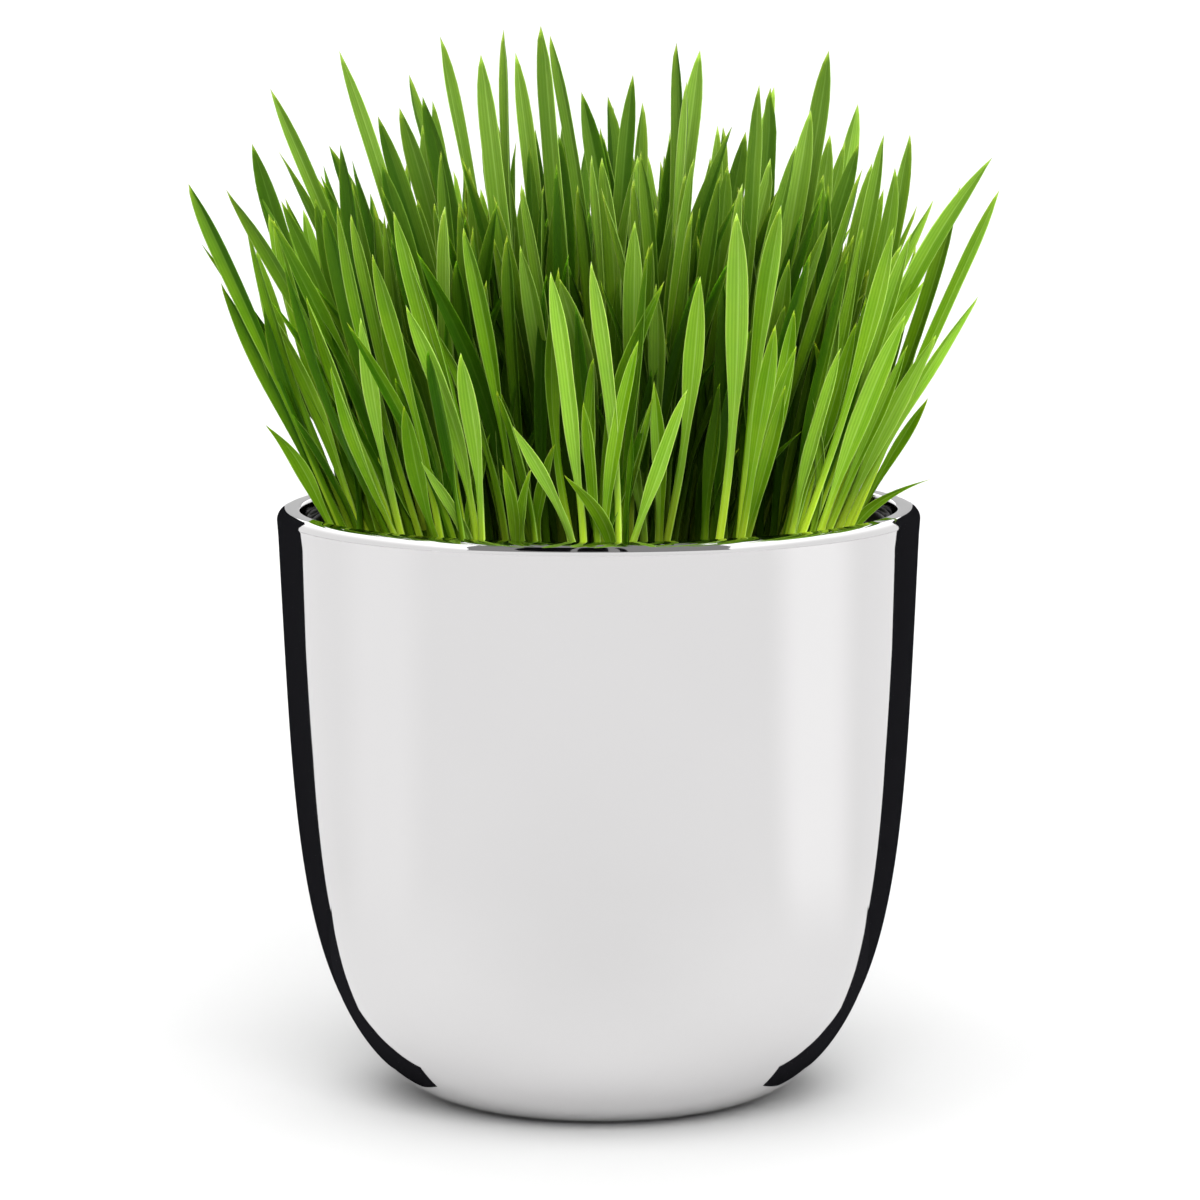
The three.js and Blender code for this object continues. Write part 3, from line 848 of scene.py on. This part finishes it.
def blade_section(bunch, blade, share):
    """The middle of a blade's level section, its half width as a vector and its fold as another. Unless the
    blade is free, the section slides towards the middle of its bunch until it clears the other bunches."""
    bottom = SOIL_HEIGHT - ROOT_SINK
    height = bottom + (blade["tip_height"] - bottom) * share
    size = spread(height)
    offset = middle_at(blade, height)
    angle = blade["facing"] + blade["twist"] * (share - 0.5)
    half = blade_width(blade, share) / 2
    depth = blend(SHEATH_DEPTH, BLADE_DEPTH, min(1.0, share * 2))
    across = (math.cos(angle) * half, math.sin(angle) * half)
    fold = (-math.sin(angle) * depth, math.cos(angle) * depth)
    room = 1.0
    neighbours = [] if "free" in blade else bunch["neighbours"]
    for to_other in neighbours:
        apart = math.hypot(*to_other)
        toward = [(v[0] * to_other[0] + v[1] * to_other[1]) / apart for v in (across, fold, offset)]
        own = max(abs(toward[0]), toward[1]) / size
        free = apart / 2 - CELL_MARGIN - own
        if toward[2] > free:
            room = min(room, max(0.0, free / toward[2]))
    middle = ((bunch["u"] + offset[0] * room) * size, (bunch["v"] + offset[1] * room) * size, height)
    return middle, across, fold


def shade_at(x, y, height):
    """How deep a point lies among the bunches, from 0 in the open to 1 in full shade."""
    reach = math.hypot(x, y) / (BUNCH_FIELD_RADIUS * spread(height))
    inside = 1 - smoothstep(reach, SHADED_REACH, OPEN_REACH)
    return inside * (1 - smoothstep(height - POT_HEIGHT, SHADED_HEIGHT, OPEN_HEIGHT))


def section_offsets(opened, thinned):
    """For each point round the section, its place across from -1 to 1 and along the fold from 0 to 1. The
    sheath is a tube, which opens into a thin folded leaf. The fold gets shallow where the leaf thins."""
    front = []
    back = []
    for across in ACROSS:
        tube = math.sqrt(max(0.0, 1 - across * across)) * 0.5
        fold = (1 - abs(across) ** FOLD_ROUNDNESS) * thinned
        rising = (1 - abs(across)) ** THICKNESS_ROUNDNESS
        thickness = blend(EDGE_THICKNESS, LEAF_THICKNESS, rising) * thinned / BLADE_DEPTH
        front.append((across, blend(0.5 - tube, fold - thickness, opened)))
        back.append((across, blend(0.5 + tube, fold, opened)))
    return front + back[::-1]


def ring_shares(count):
    """Shares of a blade's length for its rings, a little closer together towards the tip."""
    return [1 - (1 - step / count) ** RING_CROWDING for step in range(count)]


def blade_mesh(bunch, blade, rings, wobble_phase):
    """One blade: its points and faces, and each point's place across, its place along and its shade."""
    points = []
    values = {"across": [], "along": [], "shade": []}
    around = 2 * len(ACROSS)
    shading = 1 + EXTRA_SHADE if "free" in blade else 1.0
    for share in ring_shares(rings):
        middle, across, fold = blade_section(bunch, blade, share)
        half = max(math.hypot(*across), 1e-6)
        swing = WOBBLE * math.sin(wobble_phase + WOBBLE_TURN * share) * share * (1 - share) * 4
        thinned = min(1.0, half / FULL_HALF_WIDTH)
        opened = smoothstep(share, *(blade["opening"] + step for step in OPENING_SOFTNESS))
        wavy = smoothstep(share, *WAVES_SET_IN)
        for place, depth in section_offsets(opened, thinned):
            wave_angle = 2 * wobble_phase + EDGE_WAVE_TURN * share + EDGE_WAVE_SLANT * place
            wave = EDGE_WAVE * math.sin(wave_angle) * abs(place) ** 2
            sideways = place + swing * WOBBLE_SIDEWAYS / max(half, 1.0)
            behind = depth + (wave + swing * WOBBLE_BEHIND) * wavy / BLADE_DEPTH
            points.append((
                middle[0] + across[0] * sideways + fold[0] * behind,
                middle[1] + across[1] * sideways + fold[1] * behind,
                middle[2],
            ))
            values["across"].append(place)
            values["along"].append(share)
            values["shade"].append(min(1.0, shade_at(*middle) * shading))
    tip, _, fold = blade_section(bunch, {**blade, "width": 0.0}, 1.0)
    points.append((tip[0] + fold[0] * TIP_FOLD, tip[1] + fold[1] * TIP_FOLD, tip[2]))
    values["across"].append(0.0)
    values["along"].append(1.0)
    values["shade"].append(min(1.0, shade_at(*tip) * shading))
    return points, blade_faces(rings, around), values


def blade_faces(rings, around):
    """The faces between a blade's rings, up to the point at its tip, and the one that closes its foot."""
    faces = []
    last = (rings - 1) * around
    for step in range(around):
        after = (step + 1) % around
        for ring in range(rings - 1):
            low = ring * around
            faces.append((low + step, low + after, low + around + after, low + around + step))
        faces.append((last + step, last + after, rings * around))
    faces.append(tuple(range(around))[::-1])
    return faces


def joined(meshes):
    """One mesh of several: all the points and faces, the points' values and the faces' materials."""
    points, faces, face_materials = [], [], []
    values = {name: [] for name in POINT_VALUES}
    for new_points, new_faces, new_values, material in meshes:
        start = len(points)
        points.extend(new_points)
        faces.extend(tuple(start + corner for corner in face) for face in new_faces)
        face_materials.extend([material] * len(new_faces))
        for name in POINT_VALUES:
            values[name].extend(new_values.get(name, [0.0] * len(new_points)))
    return points, faces, values, face_materials


def within_tones(tone):
    """A tone with its painted light and shade, held between those of the darkest and the lightest blade."""
    return min(max(tone, 0.0), 1.0)


def half_of(place):
    """-1 on the left half of a blade and 1 on the right half, with a soft change at the fold."""
    return min(max(place / FOLD_REACH, -1.0), 1.0)


def make_bunch(number, bunch, materials, between, fold_shade_draws, scattering):
    """The blades of one bunch, its root crown and the husks on the crown, as one piece."""
    meshes = []
    # Painted light: blades further to the right are lighter, as if lit from the right
    side = PAINTED_SIDE_LIGHT * bunch["u"] / BUNCH_FIELD_RADIUS
    for blade in bunch["blades"]:
        rings = EXTRA_RINGS if "free" in blade else BLADE_RINGS
        points, faces, values = blade_mesh(bunch, blade, rings, between(0, 2 * math.pi))
        tone = within_tones(blade["tone"] + side + between(*TONE_STRAYING))
        # Painted shade: one half of the blade's fold lighter and the other darker
        fold_shade = fold_shade_draws(-PAINTED_FOLD_SHADE, PAINTED_FOLD_SHADE)
        values["tone"] = [within_tones(tone + fold_shade * half_of(place)) for place in values["across"]]
        meshes.append((points, faces, values, LEAF))
    knot = [(*crown_mesh(number), ROOTS)]
    knot += [(*husk_mesh(scattering), HUSKS) for _ in range(HUSKS_PER_CROWN)]
    for points, faces, material in knot:
        moved = [(x + bunch["u"], y + bunch["v"], z) for x, y, z in points]
        meshes.append((moved, faces, {}, material))
    points, faces, values, face_materials = joined(meshes)
    piece = make_piece(
        f"grass_leaves_{number:02d}", points, faces, materials,
        f"grass_bunch_{number:02d}", face_materials,
    )
    for name in POINT_VALUES:
        set_attribute(piece, name, values[name])


def crown_mesh(number):
    """A low knot of roots with an uneven outline, which stands a little out of the soil."""
    top = SOIL_HEIGHT + CROWN_PROUD
    bottom = SOIL_HEIGHT - CROWN_DEPTH
    profile = [
        (0.0, bottom), (CROWN_RADIUS * 0.85, bottom), (CROWN_RADIUS, SOIL_HEIGHT - 2),
        (CROWN_RADIUS * 0.95, SOIL_HEIGHT), (CROWN_RADIUS * 0.7, SOIL_HEIGHT + 0.6 * CROWN_PROUD),
        (CROWN_RADIUS * 0.3, top), (0.0, top),
    ]
    points, faces = turned(profile, CROWN_SIDES)
    uneven = []
    for x, y, z in points:
        angle = math.atan2(y, x)
        swelling = math.sin(3 * angle + number) + math.sin(5 * angle + 2 * number)
        size = 1 - CROWN_UNEVENNESS * (0.5 + 0.25 * swelling)
        uneven.append((x * size, y * size, z))
    return uneven, faces


def husk_mesh(scattering):
    """One slim seed husk, which lies on the crown at a random place and angle."""
    x, y = draw_point(scattering, CROWN_RADIUS)
    angle = scattering(0, 2 * math.pi)
    tilt = scattering(-HUSK_TILT, HUSK_TILT)
    length = scattering(*HUSK_LENGTHS)
    width = length * HUSK_SLIMNESS
    height = SOIL_HEIGHT + CROWN_PROUD * (1 - (x * x + y * y) / CROWN_RADIUS ** 2)
    profile = [(0.0, 0.0), (0.6 * width, 0.1 * length), (width, 0.45 * length)]
    profile += [(0.6 * width, 0.85 * length), (0.0, length)]
    points, faces = turned(profile, HUSK_SIDES)
    lying = []
    for sideways, up, along in points:
        along -= length / 2
        lying.append((
            x + along * math.cos(angle) - sideways * math.sin(angle),
            y + along * math.sin(angle) + sideways * math.cos(angle),
            height + up + along * tilt,
        ))
    return lying, faces


def make_grass():
    bunches = place_bunches()
    grow_blades(bunches)
    materials = [grass_leaf(), root_mat(), seed_husks()]
    between = drawing(EXTRA_SEED + 1)
    fold_shade_draws = drawing(EXTRA_SEED + 2)
    scattering = drawing(EXTRA_SEED + 3)
    for index, bunch in enumerate(bunches):
        make_bunch(index + 1, bunch, materials, between, fold_shade_draws, scattering)


# Soil
def soil_top(x, y):
    """Height of the soil's surface, a low dome with lumps."""
    from_middle = min(1.0, math.hypot(x, y) / grow_radius(SOIL_HEIGHT))
    place = Vector((x, y, 0)) * SOIL_LUMPS_PER_MILLIMETRE
    lumps = noise.fractal(place, SOIL_LUMPS_FALLOFF, SOIL_LUMPS_GETTING_FINER, SOIL_LUMPS_LAYERS)
    return SOIL_HEIGHT - SOIL_DOME * from_middle ** 2 + SOIL_RELIEF * (lumps - SOIL_LUMPS_MIDDLE)


def make_soil():
    edge = grow_radius(SOIL_HEIGHT) - GROW_WALL - GAP
    foot = grow_radius(SOIL_BOTTOM) - GROW_WALL - GAP
    profile = [(0.0, SOIL_BOTTOM), (foot, SOIL_BOTTOM)]
    profile += [(edge * (SOIL_RINGS - ring) / SOIL_RINGS, SOIL_HEIGHT) for ring in range(SOIL_RINGS)]
    profile += [(0.0, SOIL_HEIGHT)]
    level_points, faces = turned(profile, SOIL_SIDES)
    points = [(x, y, soil_top(x, y) if z == SOIL_HEIGHT else z) for x, y, z in level_points]
    add_crumbs(points, faces, edge)
    make_piece("potting_soil_fill", points, faces, [potting_soil()], "soil", smooth=False)


def add_crumbs(points, faces, edge):
    """Loose crumbs of bark and peat, each an uneven eight-sided lump half sunk in the surface."""
    between = drawing(SOIL_SEED)
    for _ in range(CRUMB_COUNT):
        radius = (edge - CRUMB_SIZES[1]) * math.sqrt(between())
        angle = between(0, 2 * math.pi)
        x = radius * math.cos(angle)
        y = radius * math.sin(angle)
        z = soil_top(x, y)
        start = len(points)
        for axis in range(3):
            for sign in (-1, 1):
                arm = [between(-CRUMB_UNEVENNESS, CRUMB_UNEVENNESS) for _ in range(3)]
                arm[axis] += sign
                size = between(*CRUMB_SIZES)
                points.append((x + arm[0] * size, y + arm[1] * size, z + arm[2] * size * CRUMB_FLATNESS))
        for side_x in (0, 1):
            for side_y in (2, 3):
                for side_z in (4, 5):
                    corners = (start + side_x, start + side_y, start + side_z)
                    outward = (side_x + side_y + side_z) % 2 == 1
                    faces.append(corners if outward else corners[::-1])


# Stage: floor, soft lights, and black flags and white cards that only reflections show
FLOOR_REACH = 12000.0
FLOOR_DROP = 0.02
FLOOR_TONE = 0.385
# Painted light: the floor's tone beside the pot, brighter as if lit there
FLOOR_PAINTED_LIGHT = 0.448
WORLD_STRENGTHS = (0.35, 0.605)
WORLD_BEHIND = (0.6, 0.95)

# Lights: name, the direction that the light comes from, strength, and how many degrees wide it is
LIGHTS = [
    ("light_left", (-1.0, -0.6, 1.1), 1.7, 60),
    ("light_right", (1.0, -0.6, 1.1), 1.55, 60),
    ("light_front", (0.08, -1.0, 0.65), 4.8, 45),
    ("light_top", (0.0, 0.0, 1.0), 2.9, 60),
    ("light_back", (0.0, 1.0, 1.0), 1.1, 50),
]

# Flags and cards, with their corners: across and up for those before and behind the pot, front to back and
# up for the side cards, and across and front to back for the floor flags. A card's first strength holds up
# to its first height, in metres, and its second strength from its second height.
FRONT_FLAG_DISTANCE = 500.0
FRONT_FLAGS = [
    [
        (-284, 528), (-180, 480), (-93, 470), (-160, 1820), (-250, 3500), (-1500, 3500), (-625, 2200),
        (-438, 1190), (-367, 800),
    ],
    [(-69, 470), (31, 470), (61, 1800), (100, 3500), (-200, 3500), (-134, 1820)],
    [(69, 450), (93, 450), (140, 1400), (159, 1850), (160, 2700), (117, 1810)],
]
SIDE_CARD_DISTANCE = 450.0
SIDE_CARD = [
    (-480, 122), (-400, 480), (-300, 650), (-180, 900), (-50, 1120), (100, 1500), (230, 1840), (700, 1840),
    (1500, 2100), (2300, 2420), (2600, 1300), (2600, 122),
]
SIDE_CARD_STRENGTHS = (1.15, 2.0)
SIDE_CARD_HEIGHTS = (0.28, 0.6)
FRONT_CARD_DISTANCE = 1500.0
FRONT_CARD = [(-2600, 0), (2600, 0), (2600, 985), (-2600, 985)]
FRONT_CARD_STRENGTHS = (1.1, 1.2)
FRONT_CARD_HEIGHTS = (0.0, 0.9)
BACK_FLAG_DEPTH = 70.0
BACK_FLAG = [
    (60, 112), (71, 118), (74, 142), (86, 158), (104, 166), (120, 165), (138, 157), (152, 140), (166, 112),
    (164, 92), (156, 70), (156, 44), (150, 22), (141, 0), (66, 0), (62, 18), (58, 20),
]
FLOOR_FLAG_HEIGHT = 0.05
FLOOR_FLAG = [
    (146, 70), (123, 56), (95, 35), (73, 16), (64, 2), (54, -11), (44, -22), (36, -22), (38, -12), (45, 3),
    (48, 33), (64, 70),
]


def flag_material():
    nodes = Nodes("black_flag")
    nodes.set(Base_Color=rgba(0.006, 0.006, 0.007), Roughness=1.0, Specular_IOR_Level=0.0)
    return nodes.material


def card_material(name, strengths, heights):
    """A glowing white card, dimmer towards its foot."""
    nodes = Nodes(name)
    height = nodes.add("ShaderNodeSeparateXYZ", Vector=nodes.place()).outputs["Z"]
    nodes.set(Base_Color=rgba(0.0, 0.0, 0.0), Roughness=1.0, Specular_IOR_Level=0.0)
    nodes.set(Emission_Color=rgba(1.0, 1.0, 1.0))
    nodes.set(Emission_Strength=nodes.ranged(height, *heights, *strengths))
    return nodes.material


def pale_floor():
    """A pale matt floor, with painted light a little brighter to the left and right of the pot, most to the
    right.
    """
    nodes = Nodes("floor")
    place = nodes.add("ShaderNodeSeparateXYZ", Vector=nodes.place())
    across = place.outputs["X"]
    forward = nodes.math("MULTIPLY", place.outputs["Y"], -1.0)
    square_across = nodes.math("MULTIPLY", across, across)
    square_forward = nodes.math("MULTIPLY", forward, forward)
    distance = nodes.math("SQRT", nodes.math("ADD", square_across, square_forward))
    angle = nodes.math("ARCTAN2", across, forward)
    from_front = nodes.math("ABSOLUTE", angle)
    risen = nodes.ranged(from_front, 1.0, 1.3)
    fallen = nodes.ranged(from_front, 1.5, 1.85)
    beside = nodes.math("SUBTRACT", risen, fallen)
    # Painted light: a brighter floor beside the pot, most to the right, and not close to the pot
    painted_light_share = nodes.math("MULTIPLY", beside, nodes.ranged(angle, -0.5, 0.5, 0.4, 1.0))
    painted_light_share = nodes.math("MULTIPLY", painted_light_share, nodes.ranged(distance, 0.1, 0.2))
    plain = rgba(FLOOR_TONE, FLOOR_TONE, FLOOR_TONE)
    painted_light_tone = rgba(FLOOR_PAINTED_LIGHT, FLOOR_PAINTED_LIGHT, FLOOR_PAINTED_LIGHT)
    nodes.set(Base_Color=nodes.mix(painted_light_share, plain, painted_light_tone))
    nodes.set(Roughness=1.0, Specular_IOR_Level=0.0)
    return nodes.material


def make_floor():
    corners = [(-FLOOR_REACH, -FLOOR_REACH, 0), (FLOOR_REACH, -FLOOR_REACH, 0)]
    corners += [(FLOOR_REACH, FLOOR_REACH, 0), (-FLOOR_REACH, FLOOR_REACH, 0)]
    floor = make_mesh("floor", corners, [(0, 1, 2, 3)], [pale_floor()])
    floor.location.z = -FLOOR_DROP * MM


def make_flag(name, corners, material):
    """A flag or card that only reflections show."""
    flag = make_mesh(name, corners, [tuple(range(len(corners)))], [material])
    for setting in ("camera", "diffuse", "transmission", "volume_scatter", "shadow"):
        setattr(flag, f"visible_{setting}", False)


def make_flags():
    black = flag_material()
    white = card_material("side_card", SIDE_CARD_STRENGTHS, SIDE_CARD_HEIGHTS)
    pale = card_material("front_card", FRONT_CARD_STRENGTHS, FRONT_CARD_HEIGHTS)
    for number, corners in enumerate(FRONT_FLAGS):
        make_flag(f"front_flag_{number + 1}", [(x, -FRONT_FLAG_DISTANCE, z) for x, z in corners], black)
    for name, side in (("left", -1), ("right", 1)):
        make_flag(f"back_flag_{name}", [(side * x, BACK_FLAG_DEPTH, z) for x, z in BACK_FLAG], black)
        make_flag(f"floor_flag_{name}", [(side * x, y, FLOOR_FLAG_HEIGHT) for x, y in FLOOR_FLAG], black)
        make_flag(f"side_card_{name}", [(side * SIDE_CARD_DISTANCE, y, z) for y, z in SIDE_CARD], white)
    make_flag("front_card", [(x, -FRONT_CARD_DISTANCE, z) for x, z in FRONT_CARD], pale)


def make_soft_light(name, direction, strength, degrees_wide):
    """A wide, soft light from far away, which lights the whole floor evenly."""
    data = bpy.data.lights.new(name, "SUN")
    data.angle = math.radians(degrees_wide)
    data.energy = strength
    light = bpy.data.objects.new(name, data)
    bpy.context.scene.collection.objects.link(light)
    light.visible_glossy = False
    light.location = Vector(direction)
    light.rotation_euler = (-Vector(direction)).to_track_quat("-Z", "Y").to_euler()


def make_world():
    """An even grey sky, brighter low down behind the pot."""
    world = bpy.data.worlds.new("studio")
    world.use_nodes = True
    nodes = world.node_tree.nodes
    background = nodes["Background"]
    place = nodes.new("ShaderNodeTexCoord")
    split = nodes.new("ShaderNodeSeparateXYZ")
    behind = nodes.new("ShaderNodeMapRange")
    behind.interpolation_type = "SMOOTHSTEP"
    for index, value in enumerate((*WORLD_BEHIND, *WORLD_STRENGTHS)):
        behind.inputs[index + 1].default_value = value
    world.node_tree.links.new(place.outputs["Generated"], split.inputs["Vector"])
    world.node_tree.links.new(split.outputs["Y"], behind.inputs["Value"])
    world.node_tree.links.new(behind.outputs["Result"], background.inputs["Strength"])
    background.inputs["Color"].default_value = (1.0, 1.0, 1.0, 1.0)
    bpy.context.scene.world = world


def make_stage():
    make_world()
    make_floor()
    make_flags()
    for name, direction, strength, degrees_wide in LIGHTS:
        make_soft_light(name, direction, strength, degrees_wide)
    bpy.context.scene.view_settings.view_transform = "Standard"


make_stage()
make_pot()
make_grow_pot()
make_soil()
make_grass()
